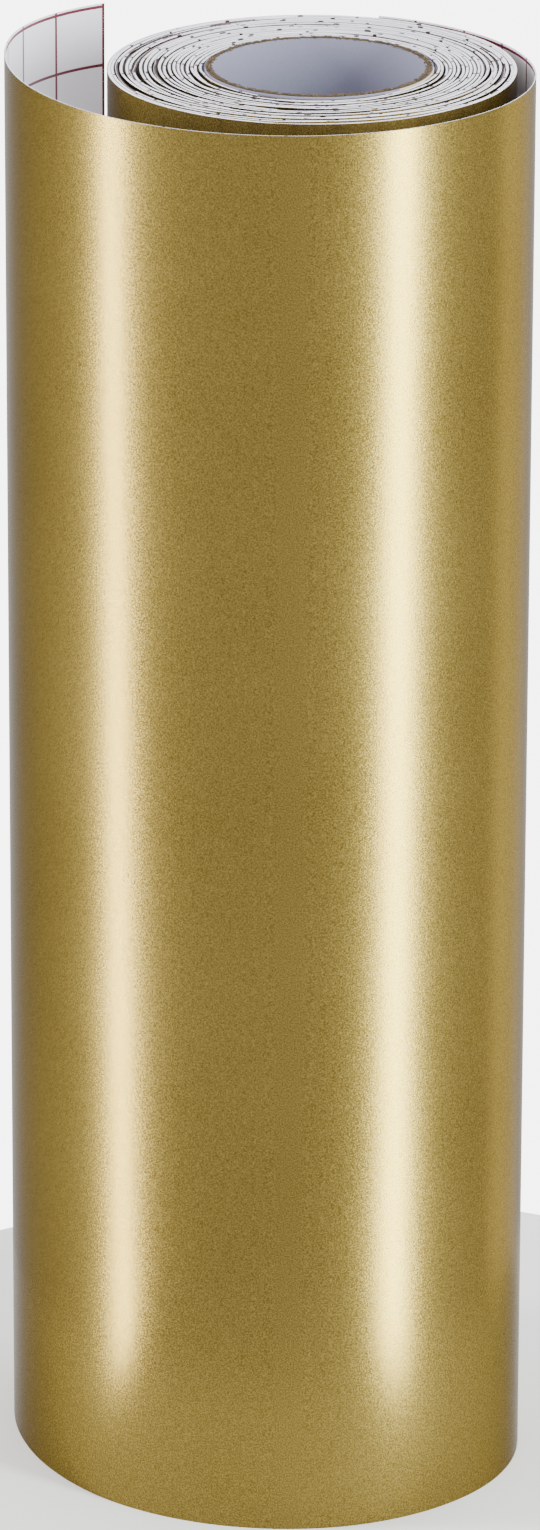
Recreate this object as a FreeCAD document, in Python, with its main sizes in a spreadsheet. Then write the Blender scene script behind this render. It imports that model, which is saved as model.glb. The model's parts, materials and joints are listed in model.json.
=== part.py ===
"""A roll of self-adhesive sign vinyl, standing on end with its outer lap sprung loose.

The roll is a paperboard core with one long web wound on it. The web is a laminate of three layers:
a printed paper release liner on the inside, a pressure-sensitive adhesive coat, and the vinyl film
outside. The last lap has sprung away from the roll, and is made as six curved panels, each hinged
to the next, so that the lap can be wound in or unrolled. On the last panel the liner is a piece of
its own, which peels away from the adhesive.

The core's axis is Z and the roll stands on z = 0. Seen from above, the web winds outwards
clockwise, and the loose lap runs from the back of the roll past the right-hand side (+X) and the
front (-Y) to the left.
"""
import FreeCAD, Part

import math
import os

import Sketcher
from FreeCAD import Placement, Rotation, Vector

# ------------------------------------------------------------ driving dimensions (mm, degrees)
SIZES = {
    "web_width": 305.0,          # the roll's length along the core: a 12 inch web
    "core_bore": 44.0,           # inside diameter of the core
    "inner_ply": 0.2,            # pale paper ply that lines the core
    "board_ply": 1.1,            # kraft board plies of the core
    "outer_ply": 0.2,            # white paper ply outside the board
    "tape_thickness": 0.1,       # starter tape that holds the web's first edge on the core
    "tape_width": 19.0,          # the tape's width round the core
    "liner_thickness": 0.14,
    "adhesive_thickness": 0.03,
    "film_thickness": 0.08,
    "turn_count": 21,            # whole turns of web on the core
    "right_pitch": 0.835,        # how far each turn moves out on the +X side
    "left_pitch": 0.956,         # and on the -X side, where the winding is looser
    "lift_angle": 60.0,          # where the web leaves the roll, from +X towards +Y
    "panel_span": 50.1,          # the angle that each panel of the lap turns through
    "lap_room_1": 6.13,          # how much wider than the roll each panel curves, from the roll outwards
    "lap_room_2": 2.73,
    "lap_room_3": 9.03,
    "lap_room_4": 14.63,
    "lap_room_5": 24.43,
    "lap_room_6": -4.07,         # the end panel curls tighter than the roll
    "hinge_gap": 0.3,            # space between two panels' edges, where the sheet bends
    "peel_gap": 0.03,            # space between the end panel's liner and its adhesive
}
PANEL_COUNT = 6
PARTS_FOLDER = "parts"
UP = Vector(0, 0, 1)
HALF_TURN = 180.0
WOUND_FACE = 15.0                # degrees: the widest face of a wound layer
COAT_FACE = 5.0                  # degrees: the widest face of a panel's adhesive coat
ARCS_PER_TURN = 2

document = FreeCAD.newDocument("sign_vinyl_roll")
sheet = document.addObject("Spreadsheet::Sheet", "Sizes")
for row, (alias, number) in enumerate(SIZES.items(), start=1):
    sheet.set(f"A{row}", alias)
    sheet.set(f"B{row}", str(number))
    sheet.setAlias(f"B{row}", alias)
document.recompute()


def size(alias):
    """A driving dimension, read from the spreadsheet."""
    return float(getattr(sheet, alias))


# ------------------------------------------------------------ what follows from the driving dimensions
BOARD_INSIDE = "Sizes.core_bore / 2 + Sizes.inner_ply"
BOARD_OUTSIDE = f"{BOARD_INSIDE} + Sizes.board_ply"
CORE_OUTSIDE = f"{BOARD_OUTSIDE} + Sizes.outer_ply"
TAPE_OUTSIDE = f"{CORE_OUTSIDE} + Sizes.tape_thickness"

# How far the winding reaches past the tape on each side, and the last half turn's inside radius.
LEFT_BUILD = "Sizes.left_pitch * (Sizes.turn_count - 0.5)"
RIGHT_BUILD = "Sizes.right_pitch * Sizes.turn_count"
WOUND_RADIUS = f"{TAPE_OUTSIDE} + ({LEFT_BUILD} + {RIGHT_BUILD}) / 2"

# Depth in the web: 0 is the liner's inner face, and the film's outer face is the whole thickness.
LINER_TOP = "Sizes.liner_thickness"
ADHESIVE_TOP = f"{LINER_TOP} + Sizes.adhesive_thickness"
FILM_TOP = f"{ADHESIVE_TOP} + Sizes.film_thickness"
LAYERS = {
    "liner": ("0", LINER_TOP),
    "adhesive": (LINER_TOP, ADHESIVE_TOP),
    "film": (ADHESIVE_TOP, FILM_TOP),
}


def value(expression):
    """What an expression on the spreadsheet comes to."""
    return float(sheet.evalExpression(expression))


core_radius = value(CORE_OUTSIDE)
web_start_radius = value(TAPE_OUTSIDE)
finished = []


def keep(piece, label):
    """Gives a finished sub-part its own label, which names its file."""
    piece.Label = label
    finished.append(piece)
    return piece


# ------------------------------------------------------------ the paperboard core
def core_ply(label, inside, outside):
    """One ply of the core: a ring sketched on the floor plane and padded along the core."""
    body = document.addObject("PartDesign::Body", f"{label}_body")
    floor_plane = next(plane for plane in body.Origin.OriginFeatures if plane.Role == "XY_Plane")
    ring = body.newObject("Sketcher::SketchObject", f"{label}_ring")
    ring.AttachmentSupport = [(floor_plane, "")]
    ring.MapMode = "FlatFace"
    for step, radius in enumerate((inside, outside)):
        first_radius = core_radius + step
        circle = ring.addGeometry(Part.Circle(Vector(), UP, first_radius), False)
        ring.addConstraint(Sketcher.Constraint("Coincident", circle, 3, -1, 1))
        limit = ring.addConstraint(Sketcher.Constraint("Radius", circle, first_radius))
        ring.setExpression(f"Constraints[{limit}]", radius)
    pad = body.newObject("PartDesign::Pad", f"{label}_pad")
    pad.Profile = ring
    pad.setExpression("Length", "Sizes.web_width")
    return keep(body, label)


core_ply("core_inner_ply", "Sizes.core_bore / 2", BOARD_INSIDE)
core_ply("core_board", BOARD_INSIDE, BOARD_OUTSIDE)
core_ply("core_outer_ply", BOARD_OUTSIDE, CORE_OUTSIDE)


# ------------------------------------------------------------ curved strips: the tape and the lap's panels
def curved_strip(label, inside, outside, angle, placement):
    """A strip of sheet bent round Z: a sector of a cylinder with a smaller cylinder cut away."""
    outer = document.addObject("Part::Cylinder", f"{label}_outer")
    inner = document.addObject("Part::Cylinder", f"{label}_inner")
    for cylinder, radius in ((outer, outside), (inner, inside)):
        cylinder.setExpression("Radius", radius)
        cylinder.setExpression("Height", "Sizes.web_width")
    outer.setExpression("Angle", angle)
    strip = document.addObject("Part::Cut", f"{label}_strip")
    strip.Base = outer
    strip.Tool = inner
    strip.Placement = placement
    return keep(strip, label)


def turned(degrees, centre=Vector()):
    """A placement at a centre, turned about the vertical."""
    return Placement(centre, Rotation(UP, degrees))


tape_angle = math.degrees(size("tape_width") / core_radius)
curved_strip(
    "starter_tape",
    CORE_OUTSIDE,
    TAPE_OUTSIDE,
    f"Sizes.tape_width / ({CORE_OUTSIDE}) * 180 / pi",
    turned(-tape_angle),
)


# ------------------------------------------------------------ layers that follow the web's line
def point_on(centre, radius, degrees):
    """A point on a circle that lies on the floor plane."""
    angle = math.radians(degrees)
    return centre + Vector(radius * math.cos(angle), radius * math.sin(angle), 0)


def web_edge(arcs, depth, widest_face):
    """The web's line at one depth, in short faces that keep a thin layer exact all the way round.

    Each arc is (centre, radius, first angle, last angle).
    """
    edges = []
    for centre, radius, first, last in arcs:
        circle = Part.Circle(centre, UP, radius + depth)
        face_count = math.ceil((first - last) / widest_face)
        step = (first - last) / face_count
        for number in range(face_count):
            start = math.radians(first - step * number)
            end = math.radians(first - step * (number + 1))
            edges.append(Part.ArcOfCircle(circle, end, start).toShape())
    return edges


def web_layer(label, arcs, bottom, top, widest_face):
    """One layer of the web along some arcs, as the outline between its two faces, extruded."""
    first_centre, first_radius, first_angle, _ = arcs[0]
    last_centre, last_radius, _, last_angle = arcs[-1]
    ends = []
    for end in ((first_centre, first_radius, first_angle), (last_centre, last_radius, last_angle)):
        centre, radius, angle = end
        inner_corner = point_on(centre, radius + bottom, angle)
        outer_corner = point_on(centre, radius + top, angle)
        ends.append(Part.LineSegment(inner_corner, outer_corner).toShape())
    near_end, far_end = ends
    inner_edge = web_edge(arcs, bottom, widest_face)
    outer_edge = web_edge(arcs, top, widest_face)
    outline = Part.Wire(inner_edge + [far_end] + outer_edge[::-1] + [near_end])
    web = document.addObject("Part::Feature", f"{label}_web")
    web.Shape = Part.Face(outline).extrude(UP * size("web_width"))
    return keep(web, label)


# ------------------------------------------------------------ the wound web
def wound_arcs():
    """The wound web's inner face, from the core outwards, as two arcs a turn.

    Each half turn has its centre on the X axis, so that every arc meets the next in line.
    """
    arcs = []
    for turn in range(int(size("turn_count"))):
        right = web_start_radius + size("right_pitch") * turn
        left = web_start_radius + size("left_pitch") * (turn + 0.5)
        next_right = right + size("right_pitch")
        arcs.append((Vector((right - left) / 2, 0, 0), (right + left) / 2, 0.0, -HALF_TURN))
        arcs.append((Vector((next_right - left) / 2, 0, 0), (next_right + left) / 2, HALF_TURN, 0.0))
    centre, radius, first, _ = arcs[-1]
    end_margin = math.degrees(size("hinge_gap") / 2 / radius)
    arcs[-1] = (centre, radius, first, size("lift_angle") + end_margin)
    return arcs


wound_web = wound_arcs()
for layer, depths in LAYERS.items():
    bottom, top = (value(depth) for depth in depths)
    web_layer(f"wound_{layer}", wound_web[:-ARCS_PER_TURN], bottom, top, WOUND_FACE)
    web_layer(f"outer_turn_{layer}", wound_web[-ARCS_PER_TURN:], bottom, top, WOUND_FACE)


# ------------------------------------------------------------ the loose lap
def lap_radius(number):
    """The expression for one panel's inside radius, which follows the size of the roll."""
    return f"{WOUND_RADIUS} + Sizes.lap_room_{number}"


def lap_panels():
    """The lap's panels as (centre, radius, first angle). Each starts square to the last one's end."""
    wound_centre, wound_radius, _, _ = wound_web[-1]
    angle = size("lift_angle")
    hinge = point_on(wound_centre, wound_radius, angle)
    panels = []
    for number in range(1, PANEL_COUNT + 1):
        radius = value(lap_radius(number))
        centre = hinge - point_on(Vector(), radius, angle)
        panels.append((centre, radius, angle))
        angle -= size("panel_span")
        hinge = point_on(centre, radius, angle)
    return panels


for number, (centre, radius, first_angle) in enumerate(lap_panels(), start=1):
    inside = lap_radius(number)
    margin = math.degrees(size("hinge_gap") / 2 / radius)
    last_angle = first_angle - size("panel_span")
    place = turned(last_angle + margin, centre)
    strip_angle = f"Sizes.panel_span - Sizes.hinge_gap / ({inside}) * 180 / pi"
    liner_top = f"{LINER_TOP} - Sizes.peel_gap" if number == PANEL_COUNT else LINER_TOP
    curved_strip(f"lap_{number}_liner", inside, f"{inside} + {liner_top}", strip_angle, place)
    curved_strip(
        f"lap_{number}_film",
        f"{inside} + {ADHESIVE_TOP}",
        f"{inside} + {FILM_TOP}",
        strip_angle,
        place,
    )
    coat = (centre, radius, first_angle - margin, last_angle + margin)
    web_layer(f"lap_{number}_adhesive", [coat], value(LINER_TOP), value(ADHESIVE_TOP), COAT_FACE)
    hinge = point_on(centre, radius + value(LINER_TOP), first_angle)
    print(f"hinge {number}: x {hinge.x:.3f}, y {hinge.y:.3f} mm")

# ------------------------------------------------------------ check and write
document.recompute()
for item in document.Objects:
    if "Invalid" in item.State or "Error" in item.State:
        raise RuntimeError(f"{item.Label} failed: {item.State}")

os.makedirs(PARTS_FOLDER, exist_ok=True)
for piece in finished:
    shape = piece.Shape
    if shape.isNull() or not shape.isValid() or not shape.Solids:
        raise RuntimeError(f"{piece.Label} is not a valid solid")
    shape.exportStep(os.path.join(PARTS_FOLDER, f"{piece.Label}.step"))
    print(f"{piece.Label}: {shape.Volume:.1f} mm3")
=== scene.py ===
# %% [markdown]
# # A roll of gold sign vinyl
# The roll stands on end with its last lap sprung loose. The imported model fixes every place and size,
# so this script starts by loading it and then dresses it: one long three-layer web, a paperboard
# core, the printed liner, soft studio light and a camera.

# %% Load the frame
import json
import math

import bpy
from mathutils import Matrix, Quaternion, Vector


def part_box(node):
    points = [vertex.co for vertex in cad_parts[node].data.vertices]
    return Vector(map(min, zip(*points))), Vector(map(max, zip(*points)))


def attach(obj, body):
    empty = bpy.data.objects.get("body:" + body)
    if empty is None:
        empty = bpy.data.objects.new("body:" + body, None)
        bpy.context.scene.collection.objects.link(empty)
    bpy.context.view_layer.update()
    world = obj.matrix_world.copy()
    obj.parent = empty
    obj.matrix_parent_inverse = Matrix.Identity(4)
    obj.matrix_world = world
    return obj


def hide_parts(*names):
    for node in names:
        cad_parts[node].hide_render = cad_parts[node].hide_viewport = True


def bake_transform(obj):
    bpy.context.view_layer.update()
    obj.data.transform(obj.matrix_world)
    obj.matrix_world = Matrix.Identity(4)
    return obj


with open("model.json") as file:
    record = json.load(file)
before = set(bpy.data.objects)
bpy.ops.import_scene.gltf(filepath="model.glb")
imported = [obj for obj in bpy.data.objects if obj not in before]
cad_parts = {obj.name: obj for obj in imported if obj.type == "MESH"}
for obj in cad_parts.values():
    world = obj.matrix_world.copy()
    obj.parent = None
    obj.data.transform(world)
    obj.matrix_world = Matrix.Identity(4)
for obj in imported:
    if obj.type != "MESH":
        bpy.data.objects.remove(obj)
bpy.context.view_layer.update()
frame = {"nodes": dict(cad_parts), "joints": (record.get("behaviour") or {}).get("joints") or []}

MM = 0.001

# %% [markdown]
# ## The line that the web follows
# On the real roll one strip runs from the core to the free edge, and every layer and every printed
# line follows it. It could be drawn by hand, but a rule is shorter and exact: seen from above, each
# half turn is an arc, and so is each panel of the loose lap. Arcs that share their end direction
# join smoothly. The panels' radii come from the distance between neighbouring hinges.

# %% Arcs of the web, core to free edge
LINER = 0.14 * MM
ADHESIVE = 0.03 * MM
FILM = 0.08 * MM
TURNS = 21
PANELS = 6
RIGHT_PITCH = 0.835 * MM
LEFT_PITCH = 0.956 * MM
LIFT_ANGLE = 60.0
PANEL_SPAN = 50.1
END_PANEL_RADIUS = 38.0965 * MM
ROLL_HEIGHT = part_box("core_board")[1].z
WEB_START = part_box("starter_tape")[1].x
HINGES = [Vector(joint["pos_m"]) for joint in frame["joints"]][:PANELS]


def towards(degrees):
    """The level direction at an angle from +X."""
    return Vector((math.cos(math.radians(degrees)), math.sin(math.radians(degrees)), 0))


def wound_arcs():
    """Two arcs a turn, as (centre, radius, first angle, last angle). The web runs clockwise."""
    arcs = []
    for turn in range(TURNS):
        right = WEB_START + RIGHT_PITCH * turn
        left = WEB_START + LEFT_PITCH * (turn + 0.5)
        next_right = right + RIGHT_PITCH
        arcs.append((Vector(((right - left) / 2, 0, 0)), (right + left) / 2, 0, -180))
        arcs.append((Vector(((next_right - left) / 2, 0, 0)), (next_right + left) / 2, 180, 0))
    centre, radius, first, _ = arcs[-1]
    arcs[-1] = (centre, radius, first, LIFT_ANGLE)
    return arcs


def lap_arcs():
    """One arc for each panel of the loose lap."""
    chord_share = 2 * math.sin(math.radians(PANEL_SPAN / 2))
    radii = [(b - a).length / chord_share - LINER for a, b in zip(HINGES, HINGES[1:])]
    arcs = []
    for number, (hinge, radius) in enumerate(zip(HINGES, radii + [END_PANEL_RADIUS])):
        first = LIFT_ANGLE - PANEL_SPAN * number
        centre = hinge - towards(first) * (radius + LINER)
        arcs.append((centre, radius, first, first - PANEL_SPAN))
    return arcs


def arc_length(arc):
    return arc[1] * math.radians(arc[2] - arc[3])


WEB = wound_arcs() + lap_arcs()
WOUND_END = sum(arc_length(arc) for arc in wound_arcs())
WEB_END = sum(arc_length(arc) for arc in WEB)
print(f"web: {WEB_END:.3f} m long, {WEB_END - WOUND_END:.3f} m of it loose")


# %% A point anywhere along the web
def web_point(distance):
    """The place on the web's inner face at a distance from the core end."""
    for centre, radius, first, last in WEB:
        length = radius * math.radians(first - last)
        if distance <= length:
            return centre + towards(first - math.degrees(distance / radius)) * radius
        distance -= length
    return centre + towards(last) * radius


panel_starts = [WOUND_END]
for arc in lap_arcs():
    panel_starts.append(panel_starts[-1] + arc_length(arc))
middles = [(a + b) / 2 for a, b in zip(panel_starts, panel_starts[1:])]
print("panels start at", ", ".join(f"{start:.3f}" for start in panel_starts), "m")

# %% [markdown]
# ## Small helpers for node trees
# Geometry and shader trees are built the same way: make a node, set its values, join sockets. Two
# short helpers keep the trees below readable.


# %% Node helpers
def add_node(tree, kind, inputs=None, **settings):
    """A node with its settings, and with values or sockets put into its named inputs."""
    node = tree.nodes.new(kind)
    for name, setting in settings.items():
        setattr(node, name, setting)
    for key, value in (inputs or {}).items():
        put(tree, value, node.inputs[key])
    return node


def put(tree, value, socket):
    """Joins a socket, or sets a plain value."""
    if isinstance(value, bpy.types.NodeSocket):
        tree.links.new(value, socket)
    else:
        socket.default_value = value


def calc(tree, operation, first, second=0.0):
    """One step of arithmetic. Returns its output socket."""
    return add_node(tree, "ShaderNodeMath", {0: first, 1: second}, operation=operation).outputs[0]


# %% [markdown]
# ## Sheets that follow a line
# Liner, adhesive and film are the same thing at different depths: a thin upright rectangle swept
# along the web's line. Geometry Nodes do the sweep, so all three share one tree with named inputs.
# A real roll is never perfectly even: its turns sit a little closer here and there, and their edges
# stand a fraction of a millimetre higher or lower. Noise along the web gives both, fades out before
# the loose lap, and is the same for each layer, so that the layers stay together.


# %% The sweep tree
FADE_LENGTH = 0.26
SLACK_WAVES = 9.0
WANDER_WAVES = 11.0
WANDER_SHIFT = 40.0


def uneven_line(tree, given):
    """The line with the distance along the web stored, and moved a little outwards and upwards."""
    along = tree.nodes.new("GeometryNodeSplineParameter").outputs["Length"]
    web_length = calc(tree, "ADD", along, given["Start"])
    line = add_node(
        tree,
        "GeometryNodeStoreNamedAttribute",
        {"Geometry": given["Line"], "Name": "web_length", "Value": web_length},
        data_type="FLOAT",
    ).outputs[0]
    fade = add_node(
        tree,
        "ShaderNodeMapRange",
        {
            "Value": web_length,
            "From Min": calc(tree, "SUBTRACT", given["Even From"], FADE_LENGTH),
            "From Max": given["Even From"],
            "To Min": 1.0,
            "To Max": 0.0,
        },
    ).outputs[0]

    def wobble(waves_per_metre, shift, most):
        """Noise along the web, from 0 to the most that it may be."""
        place = calc(tree, "MULTIPLY", web_length, waves_per_metre)
        place = calc(tree, "ADD", place, calc(tree, "ADD", given["Seed"], shift))
        noise = add_node(
            tree, "ShaderNodeTexNoise", {"W": place, "Scale": 1.0, "Detail": 2.0}, noise_dimensions="1D"
        ).outputs[0]
        spread = add_node(tree, "ShaderNodeMapRange", {"Value": noise, "From Min": 0.3, "From Max": 0.7})
        return calc(tree, "MULTIPLY", calc(tree, "MULTIPLY", spread.outputs[0], most), fade)

    slack = wobble(SLACK_WAVES, 0.0, given["Slack"])
    lift = wobble(WANDER_WAVES, WANDER_SHIFT, given["Edge Wander"])
    place = tree.nodes.new("GeometryNodeInputPosition").outputs[0]
    level = add_node(tree, "ShaderNodeVectorMath", {0: place, 1: (1, 1, 0)}, operation="MULTIPLY")
    outward = add_node(tree, "ShaderNodeVectorMath", {0: level.outputs[0]}, operation="NORMALIZE")
    sideways = add_node(
        tree, "ShaderNodeVectorMath", {0: outward.outputs[0], "Scale": slack}, operation="SCALE"
    )
    upwards = add_node(tree, "ShaderNodeCombineXYZ", {"Z": lift})
    offset = add_node(
        tree, "ShaderNodeVectorMath", {0: sideways.outputs[0], 1: upwards.outputs[0]}, operation="ADD"
    )
    line = add_node(
        tree, "GeometryNodeSetPosition", {"Geometry": line, "Offset": offset.outputs[0]}
    ).outputs[0]
    return add_node(tree, "GeometryNodeSetCurveNormal", {"Curve": line}, mode="Z_UP").outputs[0]


def sheet_outline(tree, given):
    """The upright rectangle to sweep, with its depth stored: 0 at the inner face, 1 at the outer."""
    thickness = calc(tree, "SUBTRACT", given["Outer Depth"], given["Inner Depth"])
    depths = calc(tree, "ADD", given["Outer Depth"], given["Inner Depth"])
    tall = calc(tree, "SUBTRACT", given["Height"], given["Edge Wander"])
    outline = add_node(
        tree, "GeometryNodeCurvePrimitiveQuadrilateral", {"Width": thickness, "Height": tall}
    ).outputs[0]
    middle = calc(tree, "ADD", calc(tree, "MULTIPLY", tall, 0.5), given["Base"])
    shift = add_node(
        tree,
        "ShaderNodeCombineXYZ",
        {"X": calc(tree, "MULTIPLY", depths, -0.5), "Y": calc(tree, "MULTIPLY", middle, -1.0)},
    )
    outline = add_node(
        tree, "GeometryNodeTransform", {"Geometry": outline, "Translation": shift.outputs[0]}
    ).outputs[0]
    place = tree.nodes.new("GeometryNodeInputPosition").outputs[0]
    across = add_node(tree, "ShaderNodeSeparateXYZ", {0: place}).outputs["X"]
    side = add_node(
        tree,
        "ShaderNodeMapRange",
        {
            "Value": calc(tree, "MULTIPLY", across, -1.0),
            "From Min": given["Inner Depth"],
            "From Max": given["Outer Depth"],
        },
    ).outputs[0]
    return add_node(
        tree,
        "GeometryNodeStoreNamedAttribute",
        {"Geometry": outline, "Name": "sheet_side", "Value": side},
        data_type="FLOAT",
    ).outputs[0]


def sheet_tree():
    tree = bpy.data.node_groups.new("sheet along a line", "GeometryNodeTree")
    tree.interface.new_socket("Line", in_out="INPUT", socket_type="NodeSocketGeometry")
    sheet_sizes = ("Start", "Inner Depth", "Outer Depth", "Base", "Height")
    for name in (*sheet_sizes, "Slack", "Edge Wander", "Seed", "Even From"):
        tree.interface.new_socket(name, in_out="INPUT", socket_type="NodeSocketFloat")
    tree.interface.new_socket("Material", in_out="INPUT", socket_type="NodeSocketMaterial")
    tree.interface.new_socket("Sheet", in_out="OUTPUT", socket_type="NodeSocketGeometry")
    given = tree.nodes.new("NodeGroupInput").outputs
    line = uneven_line(tree, given)
    outline = sheet_outline(tree, given)
    swept = add_node(
        tree, "GeometryNodeCurveToMesh", {"Curve": line, "Profile Curve": outline, "Fill Caps": True}
    ).outputs[0]
    swept = add_node(tree, "GeometryNodeRealizeInstances", {"Geometry": swept}).outputs[0]
    swept = add_node(tree, "GeometryNodeSetMaterial", {"Geometry": swept, "Material": given["Material"]})
    out = tree.nodes.new("NodeGroupOutput")
    tree.links.new(swept.outputs[0], out.inputs["Sheet"])
    return tree


SHEET_TREE = sheet_tree()
print("sweep tree:", len(SHEET_TREE.nodes), "nodes")


# %% [markdown]
# ## From a modifier to a plain mesh
# A piece has to be an ordinary mesh before it is tied to the frame. The evaluated object is copied
# to a new mesh, the maker is thrown away, sharp corners are marked so that the thin edges don't
# shade like pillows, and a mesh that came out inside out is turned.


# %% Finish a piece
def link(thing):
    bpy.context.scene.collection.objects.link(thing)
    return thing


def mesh_volume(mesh):
    """The signed volume of a closed mesh: negative when its faces look inwards."""
    mesh.calc_loop_triangles()
    points = [vertex.co for vertex in mesh.vertices]
    total = 0.0
    for triangle in mesh.loop_triangles:
        a, b, c = (points[index] for index in triangle.vertices)
        total += a.dot(b.cross(c))
    return total / 6


def plain_mesh(maker, name, tree, values):
    """Runs a node tree on a maker object with the given inputs, and keeps only the mesh it makes."""
    modifier = maker.modifiers.new("shape", "NODES")
    modifier.node_group = tree
    for item in tree.interface.items_tree:
        if item.in_out == "INPUT" and item.name in values:
            modifier[item.identifier] = values[item.name]
    bpy.context.view_layer.update()
    graph = bpy.context.evaluated_depsgraph_get()
    mesh = bpy.data.meshes.new_from_object(maker.evaluated_get(graph))
    bpy.data.objects.remove(maker)
    if mesh_volume(mesh) < 0:
        mesh.flip_normals()
    mesh.shade_smooth()
    mesh.set_sharp_from_angle(angle=math.radians(40))
    mesh.name = name
    piece = link(bpy.data.objects.new(name, mesh))
    print(f"{name}: {len(mesh.polygons)} faces")
    return piece


def line_curve(name, points, closed=False):
    """A curve object that runs straight from point to point."""
    curve = bpy.data.curves.new(name, "CURVE")
    curve.dimensions = "3D"
    spline = curve.splines.new("POLY")
    spline.points.add(len(points) - 1)
    for slot, point in zip(spline.points, points):
        slot.co = (*point, 1)
    spline.use_cyclic_u = closed
    return link(bpy.data.objects.new(name, curve))


# %% [markdown]
# ## Colour effects that several finishes share
# Paper, board and film are all a little uneven, each at its own scale. One group gives that as a
# mask and a bumped normal, and each material places it with its own numbers. A second group draws
# the liner's printed squares from the distance along the web and the height on the roll.


# %% Shader groups
def shader_group(name, inputs, outputs):
    group = bpy.data.node_groups.new(name, "ShaderNodeTree")
    for label, default in inputs.items():
        socket = group.interface.new_socket(label, in_out="INPUT", socket_type="NodeSocketFloat")
        socket.default_value = default
    for label, kind in outputs.items():
        group.interface.new_socket(label, in_out="OUTPUT", socket_type=kind)
    return group, group.nodes.new("NodeGroupInput").outputs, group.nodes.new("NodeGroupOutput").inputs


def grain_group():
    """Fine unevenness: a mask from 0 to 1 and a normal, with the grain's size in millimetres."""
    group, given, out = shader_group(
        "fine grain",
        {"Grain Size": 0.3, "Blotch Size": 20.0, "Blotch Share": 0.3, "Bump": 0.1},
        {"Mask": "NodeSocketFloat", "Normal": "NodeSocketVector"},
    )
    place = group.nodes.new("ShaderNodeTexCoord").outputs["Object"]
    per_metre = calc(group, "DIVIDE", 1000.0, given["Grain Size"])
    fine = add_node(
        group, "ShaderNodeTexNoise", {"Vector": place, "Scale": per_metre, "Detail": 3.0}
    ).outputs[0]
    blotch_rate = calc(group, "DIVIDE", 1000.0, given["Blotch Size"])
    blotch = add_node(group, "ShaderNodeTexNoise", {"Vector": place, "Scale": blotch_rate}).outputs[0]
    mixed = add_node(group, "ShaderNodeMix", {0: given["Blotch Share"], 2: fine, 3: blotch}).outputs[0]
    spread = add_node(group, "ShaderNodeMapRange", {"Value": mixed, "From Min": 0.3, "From Max": 0.7})
    bump = add_node(
        group, "ShaderNodeBump", {"Strength": given["Bump"], "Distance": 0.05 * MM, "Height": fine}
    ).outputs[0]
    put(group, spread.outputs[0], out["Mask"])
    put(group, bump, out["Normal"])
    return group


def print_group():
    """Where the liner is printed: 1 on a line, 0 between lines. Sizes are in metres."""
    group, given, out = shader_group(
        "printed squares",
        {
            "Along": 0.0,
            "Up": 0.0,
            "Square": 12.7 * MM,
            "Line": 0.6 * MM,
            "Web End": 1.0,
            "Top": 0.3,
            "Margin": 0.65 * MM,
        },
        {"Mask": "NodeSocketFloat"},
    )
    half_line = calc(group, "MULTIPLY", given["Line"], 0.5)
    from_end = calc(group, "SUBTRACT", given["Web End"], given["Along"])
    from_end = calc(group, "SUBTRACT", from_end, half_line)
    from_top = calc(group, "SUBTRACT", given["Top"], given["Up"])
    from_top = calc(group, "SUBTRACT", from_top, given["Margin"])
    masks = []
    for distance in (from_end, from_top):
        nearest = calc(group, "PINGPONG", distance, calc(group, "MULTIPLY", given["Square"], 0.5))
        masks.append(calc(group, "LESS_THAN", nearest, half_line))
    put(group, calc(group, "MAXIMUM", *masks), out["Mask"])
    return group


GRAIN = grain_group()
PRINT = print_group()
print("shader groups:", GRAIN.name, "and", PRINT.name)


# %% Material helpers
def new_material(name, constants):
    """A material with its Principled shader's plain values set, and the tree to build on."""
    material = bpy.data.materials.new(name)
    material.use_nodes = True
    shader = material.node_tree.nodes["Principled BSDF"]
    for socket, value in constants.items():
        shader.inputs[socket].default_value = value
    return material, material.node_tree, shader


def place_group(tree, group, **values):
    """A group node with its inputs set by name, underscores standing for spaces."""
    node = add_node(tree, "ShaderNodeGroup", node_tree=group)
    for label, value in values.items():
        put(tree, value, node.inputs[label.replace("_", " ")])
    return node.outputs


def tint(tree, mask, dark, light):
    """A colour between two by a mask."""
    mix = add_node(tree, "ShaderNodeMix", {0: mask}, data_type="RGBA")
    for colour, socket in ((dark, mix.inputs[6]), (light, mix.inputs[7])):
        put(tree, (*colour, 1) if isinstance(colour, tuple) else colour, socket)
    return mix.outputs[2]


def finish_from(tree, shader, colour, marks, rough):
    """Joins a colour, the grain's roughness between two values and its normal to the shader."""
    roughness = {"Value": marks["Mask"], "To Min": rough[0], "To Max": rough[1]}
    put(tree, colour, shader.inputs["Base Color"])
    put(tree, add_node(tree, "ShaderNodeMapRange", roughness).outputs[0], shader.inputs["Roughness"])
    put(tree, marks["Normal"], shader.inputs["Normal"])


def grained_finish(name, dark, light, rough, grain, blotch, bump, share=0.4, **constants):
    """A finish whose colour and roughness vary with the shared grain, sized in millimetres."""
    material, tree, shader = new_material(
        name, {label.replace("_", " "): value for label, value in constants.items()}
    )
    marks = place_group(tree, GRAIN, Grain_Size=grain, Blotch_Size=blotch, Blotch_Share=share, Bump=bump)
    finish_from(tree, shader, tint(tree, marks["Mask"], dark, light), marks, rough)
    return material


# %% [markdown]
# ## Gold film
# The film is vinyl with metal flake under a satin face. A clear coat over a metal was the other
# choice, but a coat mirrors the pale setting and whitens the film, most of all near its edges, so
# the shader is a plain metal. The flake is a grain of about a third of a millimetre: it changes the
# colour and the roughness a little from spot to spot, and bumps the normal, which gives the fine
# sparkle at the rims of the bright bands. The specular tint holds back the pale glare that a metal
# has where it is seen nearly edge on.

# %% Film
FILM_FINISH = grained_finish(
    "gold_film",
    dark=(0.102, 0.067, 0.011),
    light=(0.242, 0.177, 0.049),
    rough=(0.22, 0.31),
    grain=0.31,
    blotch=60.0,
    bump=0.35,
    share=0.15,
    Metallic=1.0,
    Specular_Tint=(0.46, 0.45, 0.47, 1),
)
print("finish:", FILM_FINISH.name)

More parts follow.
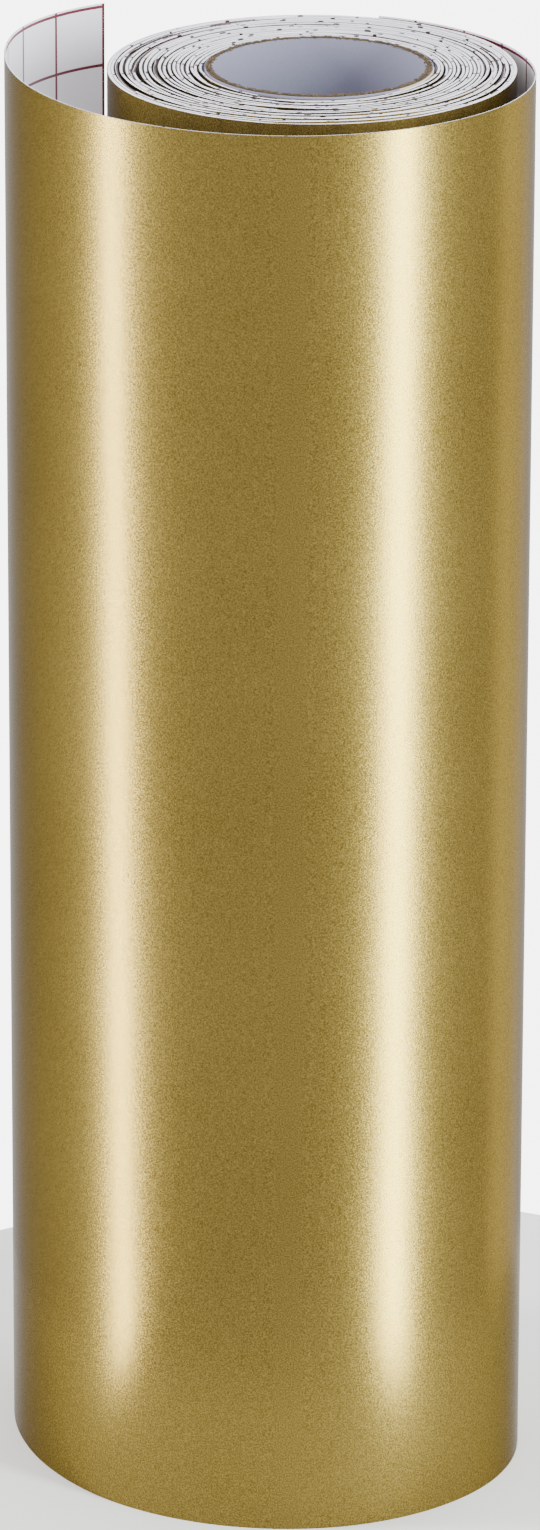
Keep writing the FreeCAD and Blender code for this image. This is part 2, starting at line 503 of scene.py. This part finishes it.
# %% [markdown]
# ## Printed liner
# The liner is a cold white release paper. Its inner face has a grid of thin dark red lines: one
# along each edge, one at the free edge, and squares between them. The lines run right to the cut
# edges, where they show as dots on the roll's end. The dots are wider than the lines on the face and
# are painted near black: the ink with painted shade from the gaps between the turns. So the cut edge
# has a finish of its own.


# %% Liner
SQUARE = 12.7 * MM
INNER_SIDE = 0.7


def liner_finish(name, ink_and_shade_colour, line_width, margin):
    """The liner's paper with its printed squares, the first line a margin below the top edge."""
    material, tree, shader = new_material(name, {"Specular IOR Level": 0.4})
    along = add_node(tree, "ShaderNodeAttribute", attribute_name="web_length").outputs["Fac"]
    side = add_node(tree, "ShaderNodeAttribute", attribute_name="sheet_side").outputs["Fac"]
    place = tree.nodes.new("ShaderNodeTexCoord").outputs["Object"]
    up = add_node(tree, "ShaderNodeSeparateXYZ", {0: place}).outputs["Z"]
    lines = place_group(
        tree, PRINT, Along=along, Up=up, Square=SQUARE, Line=line_width, Margin=margin,
        Web_End=WEB_END, Top=ROLL_HEIGHT,
    )["Mask"]
    inner_face = calc(tree, "LESS_THAN", side, INNER_SIDE)
    ink = calc(tree, "MULTIPLY", lines, inner_face)
    paper = place_group(tree, GRAIN, Grain_Size=0.5, Blotch_Size=30.0, Blotch_Share=0.6, Bump=0.15)
    sheet = tint(tree, paper["Mask"], (0.80, 0.79, 0.90), (0.87, 0.86, 0.955))
    finish_from(tree, shader, tint(tree, ink, sheet, ink_and_shade_colour), paper, (0.42, 0.6))
    return material


LINER_FINISH = liner_finish(
    "liner_paper", ink_and_shade_colour=(0.12, 0.005, 0.025), line_width=0.62 * MM, margin=0.65 * MM
)
# The cut edge's dots are painted near black: the ink's colour with painted shade from the gaps between the
# turns.
SLIT_EDGE_PAINTED_SHADE_FINISH = liner_finish(
    "slit_edge_paper_painted_shade", ink_and_shade_colour=(0.02, 0.003, 0.008), line_width=0.85 * MM, margin=0.83 * MM
)
print("finishes:", LINER_FINISH.name, "and", SLIT_EDGE_PAINTED_SHADE_FINISH.name)

# %% [markdown]
# ## Adhesive, paper, board and tape
# The adhesive is a milky tacky coat, seen only where the liner is peeled. The core's plies are
# smooth pale paper outside and inside, with raw brown board between them. The starter tape is a
# faded buff.

# %% The other finishes
ADHESIVE_FINISH = grained_finish(
    "adhesive",
    dark=(0.55, 0.55, 0.53),
    light=(0.66, 0.66, 0.63),
    rough=(0.16, 0.34),
    grain=0.9,
    blotch=12.0,
    bump=0.3,
)
PAPER_FINISH = grained_finish(
    "core_paper",
    dark=(0.21, 0.21, 0.29),
    light=(0.25, 0.25, 0.34),
    rough=(0.7, 0.85),
    grain=0.4,
    blotch=25.0,
    bump=0.25,
)
BOARD_FINISH = grained_finish(
    "core_board",
    dark=(0.018, 0.011, 0.006),
    light=(0.16, 0.105, 0.055),
    rough=(0.85, 1.0),
    grain=0.35,
    blotch=3.0,
    bump=1.0,
)
WHITE_EDGE_FINISH = grained_finish(
    "white_edge_paper",
    dark=(0.82, 0.81, 0.88),
    light=(0.90, 0.89, 0.94),
    rough=(0.5, 0.7),
    grain=0.5,
    blotch=10.0,
    bump=0.2,
)
TAPE_FINISH = grained_finish(
    "tape",
    dark=(0.62, 0.55, 0.36),
    light=(0.72, 0.65, 0.46),
    rough=(0.5, 0.7),
    grain=0.5,
    blotch=8.0,
    bump=0.4,
)
for node_name, finish in {
    "core_inner_ply": PAPER_FINISH,
    "core_outer_ply": PAPER_FINISH,
    "starter_tape": TAPE_FINISH,
}.items():
    slots = frame["nodes"][node_name].data.materials
    slots.clear()
    slots.append(finish)
print("core and tape finished")

# %% [markdown]
# ## The wound web
# The three layers of the wound part ride on the roll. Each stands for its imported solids, which were
# made perfectly even. The wound part stops a little before the first hinge, where the loose lap's
# pieces take over.

# %% Layers
BEND = 8 * MM
LAYERS = {
    "liner": (0.0, LINER, LINER_FINISH, "liner_paper"),
    "adhesive": (LINER, LINER + ADHESIVE, ADHESIVE_FINISH, "adhesive"),
    "film": (LINER + ADHESIVE, LINER + ADHESIVE + FILM, FILM_FINISH, "gold_film"),
}
WOUND_STEP = 1.6 * MM
LAP_STEP = 0.8 * MM
WANDER = 0.5 * MM
SLACK = 0.22 * MM
UNEVEN = {"Slack": SLACK, "Edge Wander": WANDER}
NOISE_SEED = 3.0
wound_stop = WOUND_END - BEND


def web_piece(name, layer, start, end, step, changed=None):
    """A length of one layer, from one distance along the web to another."""
    inner, outer, finish, slot_name = LAYERS[layer]
    count = max(2, round((end - start) / step))
    points = [web_point(start + (end - start) * index / count) for index in range(count + 1)]
    values = {
        "Start": start,
        "Inner Depth": inner,
        "Outer Depth": outer,
        "Height": ROLL_HEIGHT,
        "Seed": NOISE_SEED,
        "Even From": wound_stop,
        "Material": finish,
    }
    piece = plain_mesh(line_curve(name, points), name, SHEET_TREE, {**values, **(changed or {})})
    return piece


for layer in LAYERS:
    wound = web_piece(f"wound_{layer}_sheet", layer, 0.0, wound_stop, WOUND_STEP, UNEVEN)
    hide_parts(f"wound_{layer}", f"outer_turn_{layer}")
    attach(wound, "roll")

# %% [markdown]
# ## The slit edges
# The knife that slits the web to width raises a burr along both edges of the paper, so on the roll's
# end each turn looks wider than the sheet is thick. The same tree sweeps the burr as a low, wide
# strip. The printed line near the web's edge shows on it wherever the edge dips, painted near black:
# the ink with painted shade from the gaps between the turns. The outermost turn's burr is wider and
# has no print, which leaves a white rim round the roll's end.

# %% Burrs at both ends
BURR_TALL = 0.3 * MM
BURR = (-0.34 * MM, LINER + ADHESIVE)
OUTER_BURR = (-0.5 * MM, LINER + ADHESIVE)
OUTER_TURN = 0.265
for end, base in (("top", ROLL_HEIGHT - WANDER - BURR_TALL), ("bottom", 0.0)):
    for part, (inner, outer), start, stop, finish in (
        # The inner turns' burrs carry the edge print with its painted shade.
        ("inner_turns", BURR, WOUND_STEP, wound_stop - OUTER_TURN, SLIT_EDGE_PAINTED_SHADE_FINISH),
        ("outer_turn", OUTER_BURR, wound_stop - OUTER_TURN, wound_stop, WHITE_EDGE_FINISH),
    ):
        burr = web_piece(
            f"slit_edge_{end}_{part}",
            "liner",
            start,
            stop,
            WOUND_STEP,
            {
                **UNEVEN,
                "Inner Depth": inner,
                "Outer Depth": outer,
                "Base": base,
                "Height": BURR_TALL + WANDER,
                "Material": finish,
            },
        )
        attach(burr, "roll")

# %% [markdown]
# ## The loose lap
# A real lap bends evenly, so each piece here crosses one hinge and turns smoothly from one panel to
# the next. It starts and ends at the middle of a panel, where it follows that panel alone, and so
# do its neighbours. The pieces are made in place and are not tied to the hinged bodies. The liner
# has one piece more, past the last hinge.


# %% Pieces across the hinges
def across_hinge(name, layer, start, end, bodies, bend, stands_for):
    """A piece of one layer between two distances along the web, made in place of the parts it stands for
    and tied to no body.
    """
    piece = web_piece(name, layer, start, end, LAP_STEP)
    if stands_for:
        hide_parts(*stands_for)
    web_point(bend[0])
    web_point(bend[1])
    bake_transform(piece)


last_middle = middles[PANELS - 2]
settled = panel_starts[PANELS - 1] + BEND
for layer in LAYERS:
    across_hinge(
        f"lap_{layer}_lift",
        layer,
        wound_stop,
        middles[0],
        ("roll", "lap_1"),
        (wound_stop, WOUND_END + BEND),
        [],
    )
    for number in range(1, PANELS - 1):
        ends = (middles[number - 1], middles[number])
        bodies = (f"lap_{number}", f"lap_{number + 1}")
        across_hinge(f"lap_{layer}_bend_{number}", layer, *ends, bodies, ends, [f"lap_{number}_{layer}"])
    stop = settled if layer == "liner" else WEB_END
    nodes = ["lap_5_liner"] if layer == "liner" else [f"lap_5_{layer}", f"lap_6_{layer}"]
    across_hinge(
        f"lap_{layer}_end", layer, last_middle, stop, ("lap_5", "lap_6"), (last_middle, settled), nodes
    )
across_hinge(
    "lap_liner_peel",
    "liner",
    settled,
    WEB_END,
    ("lap_6", "peeled_liner"),
    (settled, settled + 2 * BEND),
    ["lap_6_liner"],
)

# %% [markdown]
# ## The core's board
# A paperboard tube is cut with a knife, so its brown middle plies end in a rough, hairy rim. The
# tube's board is swept like the sheets, a hair short of the cut, and a second tree scatters short
# paper fibres over both rims. Each fibre lies roughly along the rim: it is turned by between 0.6
# and 2.5 radians from the outward direction.


# %% Board and fibres
FIBRE_TURN = (0.6, 2.5)
FIBRE_SCALE = (0.5, 1.0)


def fibre_tree():
    tree = bpy.data.node_groups.new("fibres on a rim", "GeometryNodeTree")
    for name in ("Rim Inside", "Rim Outside", "Level", "Depth", "Length", "Thickness"):
        tree.interface.new_socket(name, in_out="INPUT", socket_type="NodeSocketFloat")
    for name in ("Count", "Seed"):
        tree.interface.new_socket(name, in_out="INPUT", socket_type="NodeSocketInt")
    tree.interface.new_socket("Material", in_out="INPUT", socket_type="NodeSocketMaterial")
    tree.interface.new_socket("Fibres", in_out="OUTPUT", socket_type="NodeSocketGeometry")
    given = tree.nodes.new("NodeGroupInput").outputs

    def chance(low, high, shift):
        """A random value for each fibre, a different one for each shift."""
        seed = calc(tree, "ADD", given["Seed"], float(shift))
        node = add_node(tree, "FunctionNodeRandomValue", data_type="FLOAT")
        put(tree, low, node.inputs[2])
        put(tree, high, node.inputs[3])
        put(tree, seed, node.inputs["Seed"])
        return node.outputs[1]

    angle = chance(0.0, math.tau, 1)
    radius = chance(given["Rim Inside"], given["Rim Outside"], 2)
    level = calc(tree, "SUBTRACT", given["Level"], chance(0.0, given["Depth"], 3))
    spot = add_node(
        tree,
        "ShaderNodeCombineXYZ",
        {
            "X": calc(tree, "MULTIPLY", radius, calc(tree, "COSINE", angle)),
            "Y": calc(tree, "MULTIPLY", radius, calc(tree, "SINE", angle)),
            "Z": level,
        },
    )
    points = add_node(
        tree, "GeometryNodePoints", {"Count": given["Count"], "Position": spot.outputs[0]}
    ).outputs[0]
    size = add_node(
        tree,
        "ShaderNodeCombineXYZ",
        {"X": given["Length"], "Y": given["Thickness"], "Z": given["Thickness"]},
    ).outputs[0]
    fibre = add_node(tree, "GeometryNodeMeshCube", {"Size": size}).outputs[0]
    turn = add_node(tree, "ShaderNodeCombineXYZ", {"Z": calc(tree, "ADD", angle, chance(*FIBRE_TURN, 4))})
    rotation = add_node(tree, "FunctionNodeEulerToRotation", {0: turn.outputs[0]}).outputs[0]
    placed = add_node(
        tree,
        "GeometryNodeInstanceOnPoints",
        {"Points": points, "Instance": fibre, "Rotation": rotation, "Scale": chance(*FIBRE_SCALE, 5)},
    ).outputs[0]
    placed = add_node(tree, "GeometryNodeRealizeInstances", {"Geometry": placed}).outputs[0]
    placed = add_node(tree, "GeometryNodeSetMaterial", {"Geometry": placed, "Material": given["Material"]})
    out = tree.nodes.new("NodeGroupOutput")
    tree.links.new(placed.outputs[0], out.inputs["Fibres"])
    return tree


board_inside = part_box("core_inner_ply")[1].x
board_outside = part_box("core_board")[1].x
RIM_DROP = 0.06 * MM
CIRCLE_STEP = 2
circle = [towards(-angle) * board_inside for angle in range(0, 360, CIRCLE_STEP)]
board = plain_mesh(
    line_curve("core_board_tube", circle, closed=True),
    "core_board_tube",
    SHEET_TREE,
    {
        "Outer Depth": board_outside - board_inside,
        "Base": RIM_DROP,
        "Height": ROLL_HEIGHT - 2 * RIM_DROP,
        "Material": BOARD_FINISH,
    },
)
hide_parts("core_board")
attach(board, "roll")

FIBRES = fibre_tree()
FIBRE = {
    "Length": 1.0 * MM,
    "Thickness": 0.13 * MM,
    "Depth": 0.4 * MM,
    "Count": 2400,
    "Rim Inside": board_inside - 0.2 * MM,
    "Rim Outside": board_outside - 0.15 * MM,
    "Material": BOARD_FINISH,
}
TOP_LEVEL = ROLL_HEIGHT + 0.28 * MM
BOTTOM_LEVEL = 0.46 * MM
for rim, level, seed in (("top", TOP_LEVEL, 5), ("bottom", BOTTOM_LEVEL, 6)):
    fibres = plain_mesh(
        line_curve(f"rim_fibres_{rim}", circle[:2]),
        f"rim_fibres_{rim}",
        FIBRES,
        {**FIBRE, "Level": level, "Seed": seed},
    )
    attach(fibres, "roll")

# %% [markdown]
# ## Floor, light and camera
# A pale floor and a pale world keep the setting plain. The film mirrors what is round it, so the
# floor is only a small disc: a wide one would wash out the film's lower half. Two upright strip
# lights, one at each side of the camera, give the film its two soft vertical bands. The camera looks
# down, so what the film mirrors lies lower than itself: the strips stand outside the disc and reach
# below it, and one leans with the band that it makes. A weak light fills the right-hand side, and a
# wide one overhead shows the roll's end. The world is brighter to the camera than the light that it
# sheds, so the background is nearly white and the roll isn't overlit.

# %% Floor
FLOOR_RADIUS = 0.13
FLOOR_SIDES = 128
floor_mesh = bpy.data.meshes.new("floor")
floor_mesh.from_pydata(
    [towards(360 * side / FLOOR_SIDES) * FLOOR_RADIUS for side in range(FLOOR_SIDES)],
    [],
    [tuple(range(FLOOR_SIDES))],
)
floor = link(bpy.data.objects.new("floor", floor_mesh))
floor.data.materials.append(
    grained_finish(
        "floor_white",
        dark=(0.66, 0.66, 0.66),
        light=(0.68, 0.68, 0.68),
        rough=(0.7, 0.8),
        grain=3.0,
        blotch=200.0,
        bump=0.05,
    )
)


# %% Light
def area_light(name, place, aim, wide, tall, power, colour=(1, 1, 1), lean=0.0):
    """A soft rectangular light at a place, facing a point. The camera doesn't see it."""
    data = bpy.data.lights.new(name, "AREA")
    data.shape = "RECTANGLE"
    data.size = wide
    data.size_y = tall
    data.energy = power
    data.color = colour
    light = link(bpy.data.objects.new(name, data))
    light.location = place
    facing = (Vector(aim) - Vector(place)).to_track_quat("-Z", "Y")
    light.rotation_euler = (facing @ Quaternion((0, 0, 1), math.radians(lean))).to_euler()
    light.visible_camera = False


STRIP_DISTANCE = 0.9
STRIP_MIDDLE = 0.1
STRIP_TALL = 1.4


def strip_light(name, azimuth, wide, power, colour, lean=0.0):
    """An upright strip beyond the floor's rim, at an angle from the camera's side of the roll."""
    away = towards(-90 + azimuth) * STRIP_DISTANCE
    place = (away.x, away.y, STRIP_MIDDLE)
    area_light(name, place, (0, 0, STRIP_MIDDLE), wide, STRIP_TALL, power, colour, lean)


strip_light("left_strip", azimuth=-79, wide=0.06, power=27, colour=(0.97, 0.97, 0.95), lean=11.0)
strip_light("right_strip", azimuth=50, wide=0.15, power=45, colour=(0.93, 1.0, 0.94))
strip_light("right_fill", azimuth=130, wide=0.60, power=5, colour=(1.0, 1.0, 1.0))
area_light("overhead", place=(0, 0.2, 1.8), aim=(0, 0, 0.2), wide=1.6, tall=1.6, power=24)

# %% World
LIGHT_STRENGTH = 1.5
SEEN_STRENGTH = 4.5
world = bpy.data.worlds.new("studio")
bpy.context.scene.world = world
world.use_nodes = True
sky = world.node_tree
sky.nodes["Background"].inputs["Color"].default_value = (1, 1, 1, 1)
seen = add_node(sky, "ShaderNodeLightPath").outputs["Is Camera Ray"]
strength = calc(sky, "ADD", calc(sky, "MULTIPLY", seen, SEEN_STRENGTH), LIGHT_STRENGTH)
put(sky, strength, sky.nodes["Background"].inputs["Strength"])
print("world:", LIGHT_STRENGTH, "as light, and", SEEN_STRENGTH, "more as a background")

# %% Camera
camera_data = bpy.data.cameras.new("camera")
camera_data.lens = 206.6
camera_data.sensor_width = 36
camera_data.clip_end = 50
camera = link(bpy.data.objects.new("camera", camera_data))
camera.location = (-16.2 * MM, -1739.9 * MM, 784.3 * MM)
turn, tilt, roll = (math.radians(angle) for angle in (-0.218, 70.05, 0.187))
aimed = Matrix.Rotation(turn, 3, "Z") @ Matrix.Rotation(tilt, 3, "X") @ Matrix.Rotation(roll, 3, "Z")
camera.rotation_euler = aimed.to_euler()
bpy.context.scene.camera = camera
